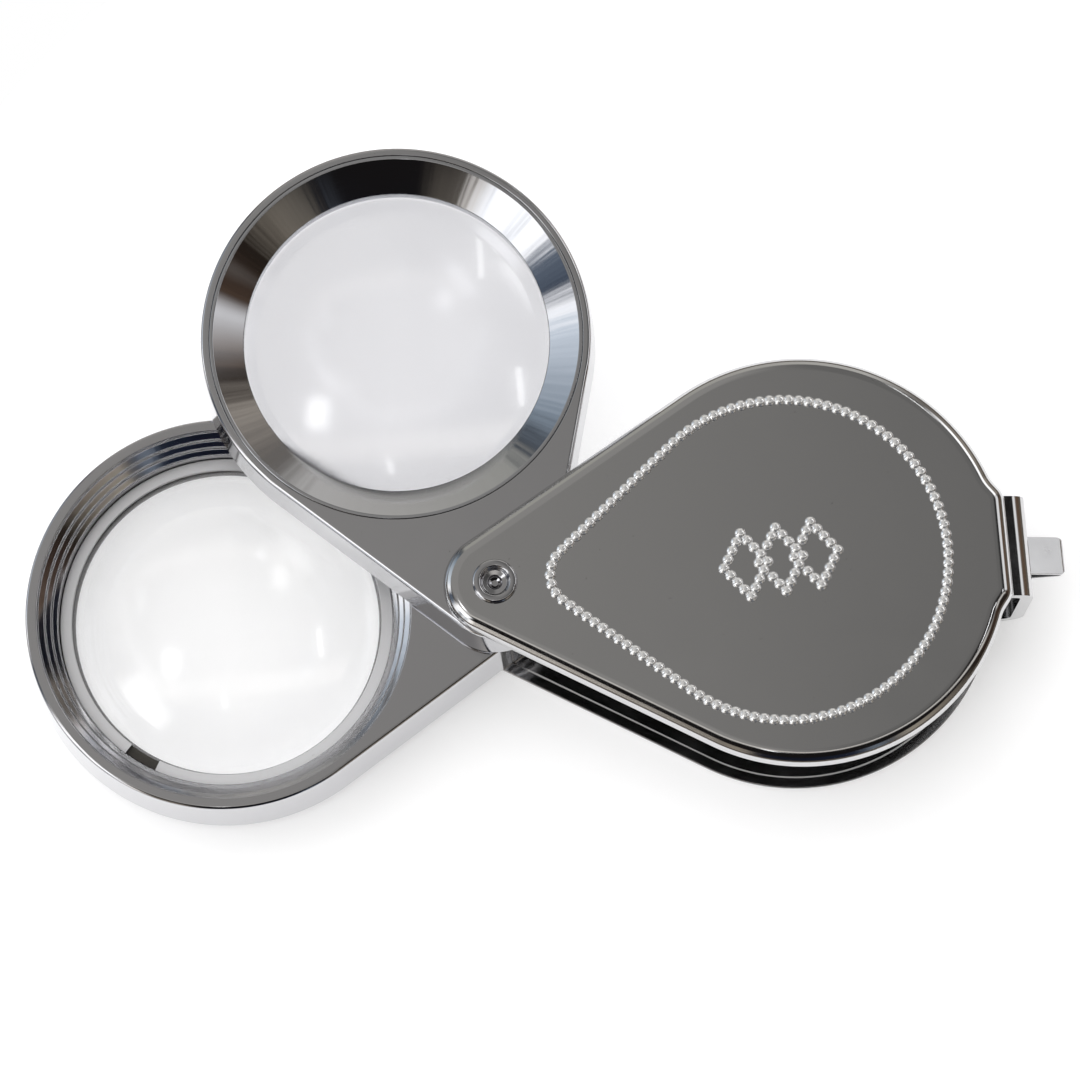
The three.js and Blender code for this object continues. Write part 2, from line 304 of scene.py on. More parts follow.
# Plated or polished metal: slow smudges and fine rubbing lines in the gloss, a faint rolling
# of the surface under it, and small specks where dust or pitting dulls the mirror
def platedMetal(name, colour, gloss, metallic=1.0, smudge=0.04, smudgeSize=3.0, rollSize=2.0,
                rollDepth=0.0008, rubAngle=20, rubStrength=0.03, speckAmount=0.6):
    material, tree, shader = newMaterial(name, Metallic=metallic, Roughness=gloss)
    place = addNode(tree, "ShaderNodeTexCoord")
    slow = addNode(tree, "ShaderNodeTexNoise", {"Scale": 1000 / smudgeSize, "Detail": 3.0},
                   {"Vector": (place, "Object")})
    turned = addNode(tree, "ShaderNodeMapping",
                     {"Rotation": (0, 0, math.radians(rubAngle)),
                      "Scale": (plating["rubStretch"], 1.0, 1.0)},
                     {"Vector": (place, "Object")})
    rubbed = addNode(tree, "ShaderNodeTexNoise", {"Scale": plating["rubScale"], "Detail": 2.0},
                     {"Vector": (turned, "Vector")})
    speck = addNode(tree, "ShaderNodeTexNoise",
                    {"Scale": 1000 / plating["speckSize"], "Detail": 1.0},
                    {"Vector": (place, "Object")})
    speckMask = addNode(tree, "ShaderNodeMapRange",
                        {"From Min": plating["speckStart"], "From Max": plating["speckFull"],
                         "To Min": 0.0, "To Max": speckAmount}, {"Value": (speck, "Fac")})
    smudged = addNode(tree, "ShaderNodeMapRange",
                      {"From Min": 0.3, "From Max": 0.7, "To Min": gloss - smudge / 2,
                       "To Max": gloss + smudge}, {"Value": (slow, "Fac")})
    lined = addNode(tree, "ShaderNodeMath",
                    {"operation": "MULTIPLY_ADD", 1: rubStrength},
                    {0: (rubbed, "Fac"), 2: (smudged, "Result")})
    dulled = addNode(tree, "ShaderNodeMath",
                     {"operation": "MULTIPLY_ADD", 1: plating["speckDulling"], "use_clamp": True},
                     {0: (speckMask, "Result"), 2: (lined, "Value")})
    tree.links.new(dulled.outputs["Value"], shader.inputs["Roughness"])
    tint = addNode(tree, "ShaderNodeMix", {"data_type": "RGBA", 6: fromHex(colour),
                                           7: fromHex(plating["speckColour"])},
                   {0: (speckMask, "Result")})
    tree.links.new(tint.outputs[2], shader.inputs["Base Color"])
    roll = addNode(tree, "ShaderNodeTexNoise", {"Scale": 1000 / rollSize, "Detail": 1.0},
                   {"Vector": (place, "Object")})
    bump = addNode(tree, "ShaderNodeBump", {"Strength": 1.0, "Distance": rollDepth * metresPerMm},
                   {"Height": (roll, "Fac")})
    tree.links.new(bump.outputs["Normal"], shader.inputs["Normal"])
    return material


# Bright chrome over pressed brass: a hard dark mirror with handling smudges
caseChrome = platedMetal("pressedChromePlate", "c9c9ca", 0.07, rollDepth=0.0012, rollSize=3.0)
# Chrome over turned brass: a little cleaner than the pressed case
frameChrome = platedMetal("turnedChromePlate", "c8c8cb", 0.06, rubAngle=70, rollDepth=0.0006)
# Mirror-polished funnel, nearly free of marks
funnelChrome = platedMetal("polishedFunnelChrome", "c6c7cb", 0.035, smudge=0.02, rollDepth=0.004,
                           rollSize=4.0, speckAmount=0.2)
# Struck beads, as bright as the plating gets
beadChrome = platedMetal("struckBeadChrome", "fafafa", 0.2, metallic=0.82, smudge=0.03,
                         speckAmount=0.0)
# Soft bright plate on thin strip, with drawing marks along it
loopSteel = platedMetal("platedStrip", "d0d0d2", 0.22, smudge=0.04, rubAngle=0, rubStrength=0.05,
                        speckAmount=0.1)
# Bright plated tubular rivet
rivetChrome = platedMetal("rivetPlate", "bdbdc0", 0.08, smudge=0.05, smudgeSize=1.0)
# Thin stamped washers, nickelled brass gone slightly warm
washerBrass = platedMetal("nickelledBrass", "bdb8a6", 0.32, smudge=0.1, smudgeSize=1.2,
                          rubStrength=0.15)
# Pressed bushes, nickelled brass
bushBrass = platedMetal("nickelledBush", "b8b2a0", 0.28, smudge=0.1, smudgeSize=1.0)
# Tempered spring washer, blue-grey
springSteel = platedMetal("temperedSpring", "8d9097", 0.3, smudge=0.1, smudgeSize=1.5)
# Satin split ring that holds the lens, paler than bare steel, so only partly a mirror
ringSteel = platedMetal("satinRing", "cdcdce", 0.3, metallic=0.35, smudge=0.08, smudgeSize=1.5,
                        rubStrength=0.1)


fibreLook = {"dark": "262523", "pale": "4a4742", "scale": 9000.0, "roughness": 0.85}


# Blackened fibre shim: dull, with short pale fibres
def fibreMaterial():
    material, tree, shader = newMaterial("blackFibre", Roughness=fibreLook["roughness"])
    place = addNode(tree, "ShaderNodeTexCoord")
    fibre = addNode(tree, "ShaderNodeTexNoise", {"Scale": fibreLook["scale"], "Detail": 4.0},
                    {"Vector": (place, "Object")})
    shade = addNode(tree, "ShaderNodeMix",
                    {"data_type": "RGBA", 6: fromHex(fibreLook["dark"]),
                     7: fromHex(fibreLook["pale"])}, {0: (fibre, "Fac")})
    tree.links.new(shade.outputs[2], shader.inputs["Base Color"])
    return material


blackFibre = fibreMaterial()


glass = {
    "haze": 0.16, "coatRoughness": 0.02, "dustScale": 700.0, "dustStart": 0.35,
    "dustFull": 0.75, "dustDulling": 0.02, "crownIndex": 1.6, "denseIndex": 2.0,
    "crownTint": "ffffff", "denseTint": "f8f8fb",
}


# Ground and polished glass with a slight haze and a little dust, clear and glossy on top
def glassMaterial(name, index, tint):
    haze = glass["haze"]
    material, tree, shader = newMaterial(
        name, Roughness=haze, IOR=index, Transmission_Weight=1.0, Base_Color=fromHex(tint),
        Coat_Weight=1.0, Coat_Roughness=glass["coatRoughness"],
    )
    place = addNode(tree, "ShaderNodeTexCoord")
    dust = addNode(tree, "ShaderNodeTexNoise", {"Scale": glass["dustScale"], "Detail": 4.0},
                   {"Vector": (place, "Object")})
    film = addNode(tree, "ShaderNodeMapRange",
                   {"From Min": glass["dustStart"], "From Max": glass["dustFull"],
                    "To Min": haze, "To Max": haze + glass["dustDulling"]},
                   {"Value": (dust, "Fac")})
    tree.links.new(film.outputs["Result"], shader.inputs["Roughness"])
    return material


crownGlass = glassMaterial("crownLensGlass", glass["crownIndex"], glass["crownTint"])
# One piece stands for a cemented group, so its index is high enough for the group's power
denseGlass = glassMaterial("denseLensGlass", glass["denseIndex"], glass["denseTint"])
print("materials ready")


cover = {
    "roundRadius": 14.05, "noseRadius": 3.5, "sheet": 0.8, "lip": 1.3, "recess": 0.3,
    "edgeRound": 1.05, "roundSteps": 10, "neckX": 14.1, "neckHalf": 3.5, "neckAngle": 19,
    "shoulderRound": 2.4, "cornerRound": 1.4, "rimEdge": 0.1, "holeRadius": 1.1,
    "arcSteps": 48, "noseSteps": 24,
}


def coverOutline():  # round end, shoulders out to the neck, and the nose, in plan
    lean = math.degrees(math.asin((cover["roundRadius"] - cover["noseRadius"]) / -rivetX))
    first, last = 90 + lean, cover["neckAngle"]
    steps, noseSteps = cover["arcSteps"], cover["noseSteps"]
    arc = [math.radians(first + (last - first) * step / steps) for step in range(steps + 1)]
    upper = [(cover["roundRadius"] * math.cos(a), cover["roundRadius"] * math.sin(a))
             for a in arc]
    lower = [(x, -y) for x, y in reversed(upper)]
    neck = [(cover["neckX"], cover["neckHalf"]), (cover["neckX"], -cover["neckHalf"])]
    turn = [math.radians(-first - (360 - 2 * first) * step / noseSteps)
            for step in range(noseSteps)]
    nose = [(rivetX + cover["noseRadius"] * math.cos(a), cover["noseRadius"] * math.sin(a))
            for a in turn]
    points = upper + neck + lower + nose
    radii = [0] * (len(points) - 2)
    shoulder, corner = cover["shoulderRound"], cover["cornerRound"]
    radii[len(upper) - 2:len(upper) + 2] = [shoulder, corner, corner, shoulder]
    return softCorners(points, radii)


def makeCover(name, mirrored):
    bottom, top = caseTop - cover["lip"], caseTop
    piece = drawPath(name, coverOutline())
    bpy.ops.mesh.select_all(action="SELECT")
    bpy.ops.transform.rotate(value=math.pi / 2, orient_axis="X", center_override=(0, 0, 0))
    bpy.ops.mesh.edge_face_add()
    roundness, steps = cover["edgeRound"], cover["roundSteps"]
    bpy.ops.mesh.extrude_region_move(
        TRANSFORM_OT_translate={"value": (0, 0, cover["lip"] - roundness)}
    )
    bpy.ops.mesh.select_all(action="SELECT")
    bpy.ops.transform.translate(value=(0, 0, bottom))
    bpy.ops.mesh.normals_make_consistent(inside=False)
    selectFaces(piece, lambda middle, normal: normal.z > 0.99)
    for step in range(steps):  # the rounded edge, one thin inset after another
        before, after = math.pi / 2 * step / steps, math.pi / 2 * (step + 1) / steps
        bpy.ops.mesh.inset(
            thickness=roundness * (math.cos(before) - math.cos(after)),
            depth=roundness * (math.sin(after) - math.sin(before)),
        )
    selectFaces(piece, lambda middle, normal: normal.z < -0.99)
    bpy.ops.mesh.inset(thickness=cover["sheet"])
    bpy.ops.mesh.extrude_region_move(
        TRANSFORM_OT_translate={"value": (0, 0, cover["recess"])}
    )
    objectMode()
    cutAway(piece, roundTool(cover["holeRadius"], bottom - 1, top + 1, rivetX))
    if mirrored:
        piece.scale.z = -1
        piece.location.z = caseTop
        bakePlace(piece)
        editMode()
        bpy.ops.mesh.select_all(action="SELECT")
        bpy.ops.mesh.normals_make_consistent(inside=False)
        objectMode()
    softenEdges(piece, cover["rimEdge"], 3)
    return piece


strap = {
    "start": 12.4, "hide": 0.2, "width": 6.9, "sheet": 0.9, "edge": 0.26, "outer": 15.65,
    "joggleStart": 13.05, "joggleEnd": 13.9, "step": 1.3, "fall": 0.45,
    "joggleRound": 0.3, "bendRound": 1.0,
    "slotWidth": 2.7, "slotHeight": 2.2, "slotRound": 0.3, "slotCut": 3,
}


def makeStrap():
    half = strap["sheet"] / 2
    wall = strap["outer"] - half
    middle = caseTop - strap["step"] - half
    upper = [
        (strap["start"], caseTop - half - strap["hide"]),
        (strap["joggleStart"], caseTop - half - strap["hide"]),
        (strap["joggleEnd"], middle), (wall, middle - strap["fall"]),
    ]
    points = upper + [(x, caseTop - z) for x, z in reversed(upper)]
    small, large = strap["joggleRound"], strap["bendRound"]
    path = softCorners(points, [small, small, large, large, small, small], 7)
    piece = foldedStrip("strap", path, strap["width"], strap["sheet"])
    deselectAll()
    bpy.ops.mesh.primitive_cube_add(
        size=1, location=(wall, 0, caseTop / 2),
        scale=(strap["slotCut"], strap["slotWidth"], strap["slotHeight"]),
    )
    slotTool = nameNew("slotTool")
    bakePlace(slotTool)
    selectEdges(slotTool, lambda a, b: abs(a.x - b.x) > 1)
    bpy.ops.mesh.bevel(offset=strap["slotRound"], segments=4, affect="EDGES")
    objectMode()
    cutAway(piece, slotTool)
    softenEdges(piece, strap["edge"], 3, 40)
    return piece


caseShell = joinPieces("caseShell", [
    makeCover("topCover", False), makeCover("bottomCover", True), makeStrap(),
])
setPlace(caseShell, atRivet=False)
handOver(caseShell, "case", "case_chrome", caseChrome, "folded_case")


loop = {
    "sheet": 0.3, "width": 2.6, "inside": 14.8, "low": 5.3, "high": 7.0, "corner": 19.2,
    "flange": 1.2, "wall": 15.65, "fold": 0.25, "footRound": 0.25, "bendRound": 0.5,
    "edge": 0.07, "tipRound": 0.6, "tip": 18.6, "spare": 0.1, "trimLength": 8, "trimHeight": 12,
}


def makeLoop():  # folded a little too wide and long, then trimmed to a rounded tip
    points = [
        (loop["inside"], loop["low"] - loop["flange"]), (loop["inside"], loop["low"]),
        (loop["corner"], loop["low"]), (loop["wall"], loop["high"]),
        (loop["inside"], loop["high"]), (loop["inside"], loop["high"] + loop["flange"]),
    ]
    radii = [loop["footRound"], loop["fold"], loop["bendRound"], loop["footRound"]]
    path = softCorners(points, radii, 7)
    piece = foldedStrip("cordLoop", path, loop["width"] + loop["spare"], loop["sheet"])
    deselectAll()
    bpy.ops.mesh.primitive_cube_add(
        size=1, location=(loop["tip"] - loop["trimLength"] / 2, 0, loop["low"]),
        scale=(loop["trimLength"], loop["width"], loop["trimHeight"]),
    )
    trimTool = nameNew("trimTool")
    bakePlace(trimTool)
    selectEdges(trimTool, lambda a, b: abs(a.z - b.z) > 1)
    bpy.ops.mesh.bevel(offset=loop["tipRound"], segments=6, affect="EDGES")
    objectMode()
    cutAway(piece, trimTool, "INTERSECT")
    softenEdges(piece, loop["edge"], 3, 40)
    return piece


cordLoop = makeLoop()
setPlace(cordLoop, atRivet=False)
handOver(cordLoop, "case", "loop_steel", loopSteel, "lanyard_loop")


rivet = {
    "shank": 1.0, "head": 1.53, "rise": 0.3, "roll": 0.25, "seat": 0.02,
    "bowl": 0.98, "bowlTaper": 0.12, "bowlWall": 0.45, "bowlDepth": 0.95,
    "stepRadius": 0.5, "stepDepth": 0.55, "pitRadius": 0.42, "pitWall": 0.82, "pitFloor": 0.2,
    "tail": 1.6, "tailInset": 0.08, "tailDepth": 0.68,
}


def makeRivet():
    face = caseTop + rivet["seat"]
    top = caseTop + rivet["rise"]
    points = [
        (0, rivet["tailInset"]), (rivet["tail"], rivet["tailInset"]),
        (rivet["shank"], rivet["tailDepth"]), (rivet["shank"], face),
        (rivet["head"], face), (rivet["head"], top), (rivet["bowl"], top),
        (rivet["bowl"] - rivet["bowlTaper"], top - rivet["bowlWall"]),
        (rivet["stepRadius"], top - rivet["stepDepth"]),
        (rivet["pitRadius"], top - rivet["pitWall"]),
        (rivet["pitFloor"], top - rivet["bowlDepth"]), (0, top - rivet["bowlDepth"]),
    ]
    radii = [0.05, 0.05, 0.03, 0.02, rivet["roll"], 0.22, 0.12, 0.06, 0.1, 0.08]
    piece = turnedPiece("tubularRivet", softCorners(points, radii, 5), 96)
    softenEdges(piece, 0)
    return piece


tubularRivet = makeRivet()
setPlace(tubularRivet)
handOver(tubularRivet, "case", "rivet_chrome", rivetChrome, "pivot_rivet")


def ringPath(inner, outer, low, high, edge, dish=0):
    points = [
        ((inner + outer) / 2, low + dish / 2), (outer, low), (outer, high),
        (inner, high + dish), (inner, low + dish), ((inner + outer) / 2, low + dish / 2),
    ]
    return softCorners(points, [edge] * 4, 3)


washerSize = {"bore": 1.15, "radius": 2.6, "edge": 0.04}
washers = {  # low face, high face, dish and CAD node
    "bottomWasher": (0.95, 1.3, 0, "bottom_washer"),
    "middleWasher": (6.8, 7.0, 0, "middle_washer"),
    "topWasher": (11.1, 11.22, 0, "top_washer"),
    "springWasher": (11.27, 11.37, 0.08, "spring_washer"),
}
for washerName, (low, high, dish, nodeName) in washers.items():
    washerPath = ringPath(
        washerSize["bore"], washerSize["radius"], low, high, washerSize["edge"], dish
    )
    washer = turnedPiece(washerName, washerPath, 96)
    softenEdges(washer, 0)
    setPlace(washer)
    isSpring = nodeName == "spring_washer"
    handOver(washer, "case", "spring_steel" if isSpring else "washer_brass",
             springSteel if isSpring else washerBrass, nodeName)


beads = {
    "radius": 0.4, "rise": 0.29, "foot": 0.1, "pitch": 0.66, "closest": 0.5,
    "borderX": -1.1, "borderRadius": 11.0, "tipX": -14.8, "tipRadius": 2.2,
    "emblemX": -1.4, "emblemTilt": 5,
    "lozengeLength": 3.0, "lozengeWidth": 4.4, "lozengePitch": 2.4,
}


def makeBead():  # one struck bead: a low dome with a steep foot
    deselectAll()
    bpy.ops.mesh.primitive_ico_sphere_add(subdivisions=2, radius=1)
    bead = nameNew("bead")
    editMode()
    bpy.ops.mesh.select_all(action="SELECT")
    bpy.ops.mesh.bisect(plane_co=(0, 0, -beads["foot"]), plane_no=(0, 0, 1), use_fill=True,
                        clear_inner=True)
    bpy.ops.mesh.select_all(action="SELECT")
    bpy.ops.transform.resize(value=(beads["radius"], beads["radius"], beads["rise"]),
                             center_override=(0, 0, 0))
    objectMode()
    bpy.ops.object.shade_smooth()
    return bead


def onCircle(middleX, radius, angle):
    return middleX + radius * math.cos(angle), radius * math.sin(angle)


def borderPlaces():  # evenly spaced round a drop: large arc, side, small arc, side
    large = (beads["borderX"], beads["borderRadius"])
    small = (beads["tipX"], beads["tipRadius"])
    run = beads["borderX"] - beads["tipX"]
    lean = math.asin((beads["borderRadius"] - beads["tipRadius"]) / run)
    first = math.pi / 2 + lean
    largeArc = 2 * first * beads["borderRadius"]
    smallArc = 2 * (math.pi / 2 - lean) * beads["tipRadius"]
    side = run * math.cos(lean)
    total = largeArc + smallArc + 2 * side
    count = round(total / beads["pitch"])
    places = []
    for number in range(count):
        along = total * number / count
        if along < largeArc:
            angle = -first + along / beads["borderRadius"]
            places.append((*onCircle(*large, angle), angle))
            continue
        along -= largeArc
        if along < side:
            start, end = Vector(onCircle(*large, first)), Vector(onCircle(*small, first))
            places.append((*start.lerp(end, along / side), first))
            continue
        along -= side
        if along < smallArc:
            angle = first + along / beads["tipRadius"]
            places.append((*onCircle(*small, angle), angle))
            continue
        along -= smallArc
        start, end = Vector(onCircle(*small, -first)), Vector(onCircle(*large, -first))
        places.append((*start.lerp(end, along / side), -first))
    return places


def emblemPlaces():
    tilt = math.radians(beads["emblemTilt"])
    halfLength, halfWidth = beads["lozengeLength"] / 2, beads["lozengeWidth"] / 2
    places = []
    for row in (-1, 0, 1):
        middle = row * beads["lozengePitch"]
        corners = [
            Vector((middle + halfLength, 0)), Vector((middle, halfWidth)),
            Vector((middle - halfLength, 0)), Vector((middle, -halfWidth)),
        ]
        for start, end in zip(corners, corners[1:] + corners[:1]):
            count = round((end - start).length / beads["pitch"])
            for number in range(count):
                spot = start.lerp(end, number / count)
                if all((spot - Vector(old)).length > beads["closest"] for old in places):
                    places.append(tuple(spot))
    return [
        (beads["emblemX"] + x * math.cos(tilt) - y * math.sin(tilt),
         x * math.sin(tilt) + y * math.cos(tilt), 0) for x, y in places
    ]


def makeBeads(name, places):
    model = makeBead()
    copies = []
    for x, y, turn in places:
        copy = bpy.data.objects.new(name, model.data.copy())
        bpy.context.scene.collection.objects.link(copy)
        copy.location = (x, y, caseTop)
        copy.rotation_euler.z = turn
        copies.append(copy)
    bpy.data.objects.remove(model)
    joined = joinPieces(name, copies)
    bakePlace(joined)
    setPlace(joined, atRivet=False)
    return joined


borderBeads = makeBeads("borderBeads", borderPlaces())
handOver(borderBeads, "case", "bead_chrome", beadChrome, "bead_border")
emblemBeads = makeBeads("emblemBeads", emblemPlaces())
handOver(emblemBeads, "case", "bead_chrome", beadChrome, "bead_emblem")


upperFrame = {
    "side": "upper", "frontRadius": 13.35, "backRadius": 13.7, "thickness": 4.0,
    "bezelDepth": 2.55, "frontSag": 2.3, "backSag": 0.85,
    "ledges": [(11.55, 0.3), (12.68, 0.3), (12.8, 0.06)],  # radius, depth under the face
    "ringTurn": 200, "turn": 106.9, "base": 11.05, "flipped": True, "glass": denseGlass,
}
lowerFrame = {
    "side": "lower", "frontRadius": 14.0, "backRadius": 13.6, "thickness": 5.4,
    "bezelDepth": 0.95, "frontSag": 1.0, "backSag": 3.3,
    "ledges": [(11.55, 2.25), (11.95, 1.9), (11.95, 1.5), (12.35, 1.15), (12.35, 0.8),
               (12.8, 0.4)],
    "ringTurn": 44, "turn": 178.8, "base": 1.35, "flipped": False, "glass": crownGlass,
}
mount = {
    "nose": 3.6, "edge": 0.1, "rimRound": 0.26, "bezelSeat": 12.8, "bezelMouth": 12.55,
    "lensBore": 11.55, "lensRadius": 11.4, "clearRadius": 10.5, "curvedRadius": 10.4,
    "lensEdge": 0.5, "lensSteps": 22, "play": 0.05, "coneShare": 0.63,
    "spacer": 0.15, "spacerInner": 10.75, "spacerEdge": 0.03,
    "ring": 0.3, "ringInner": 10.7, "ringFit": 0.04, "ringEdge": 0.07, "ringGap": 12,
    "bushRadius": 1.6, "bushBore": 1.07, "bushFit": 0.02, "bushEdge": 0.08,
}


def makeFrame(spec):
    thick = spec["thickness"]
    swell = spec["backRadius"] - spec["frontRadius"]
    piece = teardropBlank(spec["side"] + "Frame", [
        (0, mount["nose"], mount["nose"] + swell),
        (frameReach, spec["frontRadius"], spec["backRadius"]),
    ], 0, thick)
    selectEdges(piece, lambda a, b: max(a.z, b.z) < 0.001 or min(a.z, b.z) > thick - 0.001)
    bpy.ops.mesh.bevel(offset=mount["rimRound"], segments=5, affect="EDGES")
    objectMode()
    shoulder = spec["bezelDepth"] + mount["play"]
    bore = [(0, -1), (mount["bezelSeat"], -1), (mount["bezelSeat"], shoulder),
            (mount["lensBore"], shoulder)]
    bore += [(radius, thick - depth) for radius, depth in spec["ledges"]]
    bore += [(mount["bezelSeat"], thick + 1), (0, thick + 1)]
    cutAway(piece, turnedPiece("boreTool", bore, 160, frameReach))
    cutAway(piece, roundTool(mount["bushRadius"] + mount["bushFit"], -1, thick + 1))
    softenEdges(piece, mount["edge"], 4, 30)
    return piece


def makeBezel(spec):
    outer = mount["bezelSeat"] - mount["play"] / 2
    deep = spec["bezelDepth"]
    middleX = (outer + mount["clearRadius"]) / 2
    points = [
        (middleX, deep), (mount["clearRadius"], deep),
        (mount["clearRadius"], deep * mount["coneShare"]),
        (mount["bezelMouth"], 0), (outer, 0), (outer, deep), (middleX, deep),
    ]
    path = softCorners(points, [0.03, 0.1, 0.12, 0.06, 0.03], 4)
    piece = turnedPiece(spec["side"] + "Funnel", path, 160, frameReach)
    softenEdges(piece, 0)
    return piece


def faceHeight(sag, radius):  # a spherical lens face above its rim
    sphere = (mount["curvedRadius"] ** 2 + sag ** 2) / (2 * sag)
    return math.sqrt(sphere ** 2 - radius ** 2) - (sphere - sag)


def makeLens(spec):
    front = spec["bezelDepth"] + 2 * mount["play"]
    back = front + mount["lensEdge"]
    steps = mount["lensSteps"]
    radii = [mount["curvedRadius"] * step / steps for step in range(steps + 1)]
    path = [(radius, front - faceHeight(spec["frontSag"], radius)) for radius in radii]
    path += softCorners(
        [(mount["curvedRadius"], front), (mount["lensRadius"], front),
         (mount["lensRadius"], back), (mount["curvedRadius"], back)], [0.06, 0.06], 2)[1:-1]
    path += [(radius, back + faceHeight(spec["backSag"], radius))
             for radius in reversed(radii)]
    piece = turnedPiece(spec["side"] + "Glass", path, 144, frameReach)
    pick(piece)
    bpy.ops.object.shade_smooth_by_angle(angle=math.radians(24))
    piece.visible_shadow = False  # clear glass lets the light through to the paper
    return piece


def makeSpacer(spec):
    low = spec["bezelDepth"] + mount["lensEdge"] + 3 * mount["play"]
    path = ringPath(mount["spacerInner"], mount["lensRadius"], low, low + mount["spacer"],
                    mount["spacerEdge"])
    piece = turnedPiece(spec["side"] + "Spacer", path, 128, frameReach)
    softenEdges(piece, 0)
    return piece


def makeRing(spec):
    low = spec["bezelDepth"] + mount["lensEdge"] + mount["spacer"] + 4 * mount["play"]
    path = ringPath(mount["ringInner"], mount["lensBore"] - mount["ringFit"], low,
                    low + mount["ring"], mount["ringEdge"])
    piece = turnedPiece(spec["side"] + "SplitRing", path, 150, frameReach,
                        360 - mount["ringGap"], spec["ringTurn"] + mount["ringGap"] / 2)
    softenEdges(piece, 0, 3, 40)
    return piece


def makeBush(spec):
    path = ringPath(mount["bushBore"], mount["bushRadius"], 0, spec["thickness"],
                    mount["bushEdge"])
    piece = turnedPiece(spec["side"] + "Bush", path, 72)
    softenEdges(piece, 0)
    return piece


frameParts = [  # each frame brings its own glass for the lens
    (makeFrame, "lens_frame", "frame_chrome", frameChrome),
    (makeBush, "pivot_bush", "bush_brass", bushBrass),
    (makeBezel, "bezel", "bezel_mirror", funnelChrome),
    (makeLens, "lens", "lens_glass", None),
    (makeSpacer, "spacer_ring", "spacer_fibre", blackFibre),
    (makeRing, "retaining_ring", "ring_steel", ringSteel),
]
for spec in (lowerFrame, upperFrame):
    for make, part, slotName, material in frameParts:
        piece = make(spec)
        setPlace(piece, spec["turn"], spec["base"], spec["flipped"])
        handOver(piece, spec["side"] + "_frame", slotName, material or spec["glass"],
                 spec["side"] + "_" + part)


studio = {  # metres, sRGB colours, degrees
    "floorRadius": 0.058, "floorX": -0.011, "glow": 0.44, "glowColour": "fdfdfd",
    "paperDark": "d4d4d4", "paperPale": "dadada", "paperGrain": 900.0,
    "skyStrength": 2.85, "skySpread": 80, "skyColour": "fdfdff", "skyFrom": (-0.3, 0.35, 0.9),
}


def makeFloor():
    deselectAll()
    bpy.ops.mesh.primitive_circle_add(
        vertices=96, radius=studio["floorRadius"], fill_type="NGON",
        location=(studio["floorX"], 0, 0),
    )
    floor = nameNew("paperFloor")
    bakePlace(floor)
    material, tree, shader = newMaterial(
        "whitePaper", Roughness=0.9, Emission_Color=fromHex(studio["glowColour"]),
        Emission_Strength=studio["glow"],
    )  # white paper on a light table
    place = addNode(tree, "ShaderNodeTexCoord")
    grain = addNode(tree, "ShaderNodeTexNoise", {"Scale": studio["paperGrain"], "Detail": 3.0},
                    {"Vector": (place, "Object")})
    tone = addNode(tree, "ShaderNodeMix",
                   {"data_type": "RGBA", 6: fromHex(studio["paperDark"]),
                    7: fromHex(studio["paperPale"])}, {0: (grain, "Fac")})
    tree.links.new(tone.outputs[2], shader.inputs["Base Color"])
    floor.data.materials.append(material)
    floor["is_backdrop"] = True


makeFloor()


room = {  # heights and edges are parts of a unit direction
    "overheadWest": "a4a29f", "overheadEast": "7b7a78", "dark": "1c1a1a", "bench": "6f675e",
    "overheadTilt": (-0.22, 0.45, 1.0), "overheadStart": 0.62, "overheadFull": 0.90,
    "cloudScale": 11.0, "cloudDrift": 0.16, "westEdge": 0.02, "eastEdge": 0.20,
    "strayScale": 42.0, "strayDrift": 0.08, "horizonStrength": 1.7,
    "horizonTop": 0.50, "horizonFull": 0.43, "benchTop": -0.01, "benchFull": -0.05,
    "boxFacing": 0.1, "backdrop": "ffffff",
}
# what stands round the horizon, by bearing: 0 west, 0.25 south, 0.5 east, 0.75 north
horizon = [
    (0.0, "424a56"), (0.03, "59626e"), (0.05, "ffffff"), (0.07, "f4f6f8"), (0.082, "3c4551"),
    (0.10, "ffffff"), (0.112, "7d848c"), (0.122, "ffffff"), (0.142, "f2ece4"),
    (0.155, "6b655d"), (0.19, "857d72"), (0.20, "14161e"), (0.25, "12151f"), (0.30, "1a1f2b"),
    (0.315, "6d757f"), (0.33, "2a2d35"), (0.345, "8a8378"), (0.39, "6d665c"),
    (0.43, "1c1713"), (0.475, "3a2e26"), (0.53, "58483b"), (0.565, "241d18"),
    (0.60, "8c857c"), (0.645, "5c5854"), (0.68, "a8a6a2"), (0.73, "a09e99"),
    (0.83, "8f8e88"), (0.85, "3a3e44"), (0.88, "7d8892"), (0.955, "c6ced6"),
    (0.975, "ffffff"), (1.0, "424a56"),
]
# direction, half width and half height in degrees, roll, blur, colour and strength
softBoxes = [
    ((-0.477, -0.138, 0.866), 3.4, 5.0, 60, 2.6, "ffffff", 3.6),
    ((0.639, -0.053, 0.768), 1.2, 6.0, 100, 0.8, "ffffff", 3.4),
    ((-0.104, -0.46, 0.88), 1.0, 3.6, 20, 0.8, "ffffff", 3.4),
    ((0.435, 0.646, 0.628), 0.8, 8.0, 30, 0.6, "ffffff", 3.0),
    ((0.0, -0.38, 0.93), 60.0, 4.0, 0, 3.0, "d8d4ce", 1.2),
    ((-0.70, -0.40, 0.56), 11.0, 11.0, 0, 4.0, "ffffff", 2.4),
    ((0.66, 0.52, 0.50), 9.0, 8.0, 0, 4.0, "ffffff", 2.0),
    ((0.864, 0.186, 0.468), 13.0, 10.0, 0, 4.0, "cccccc", 1.9),
]


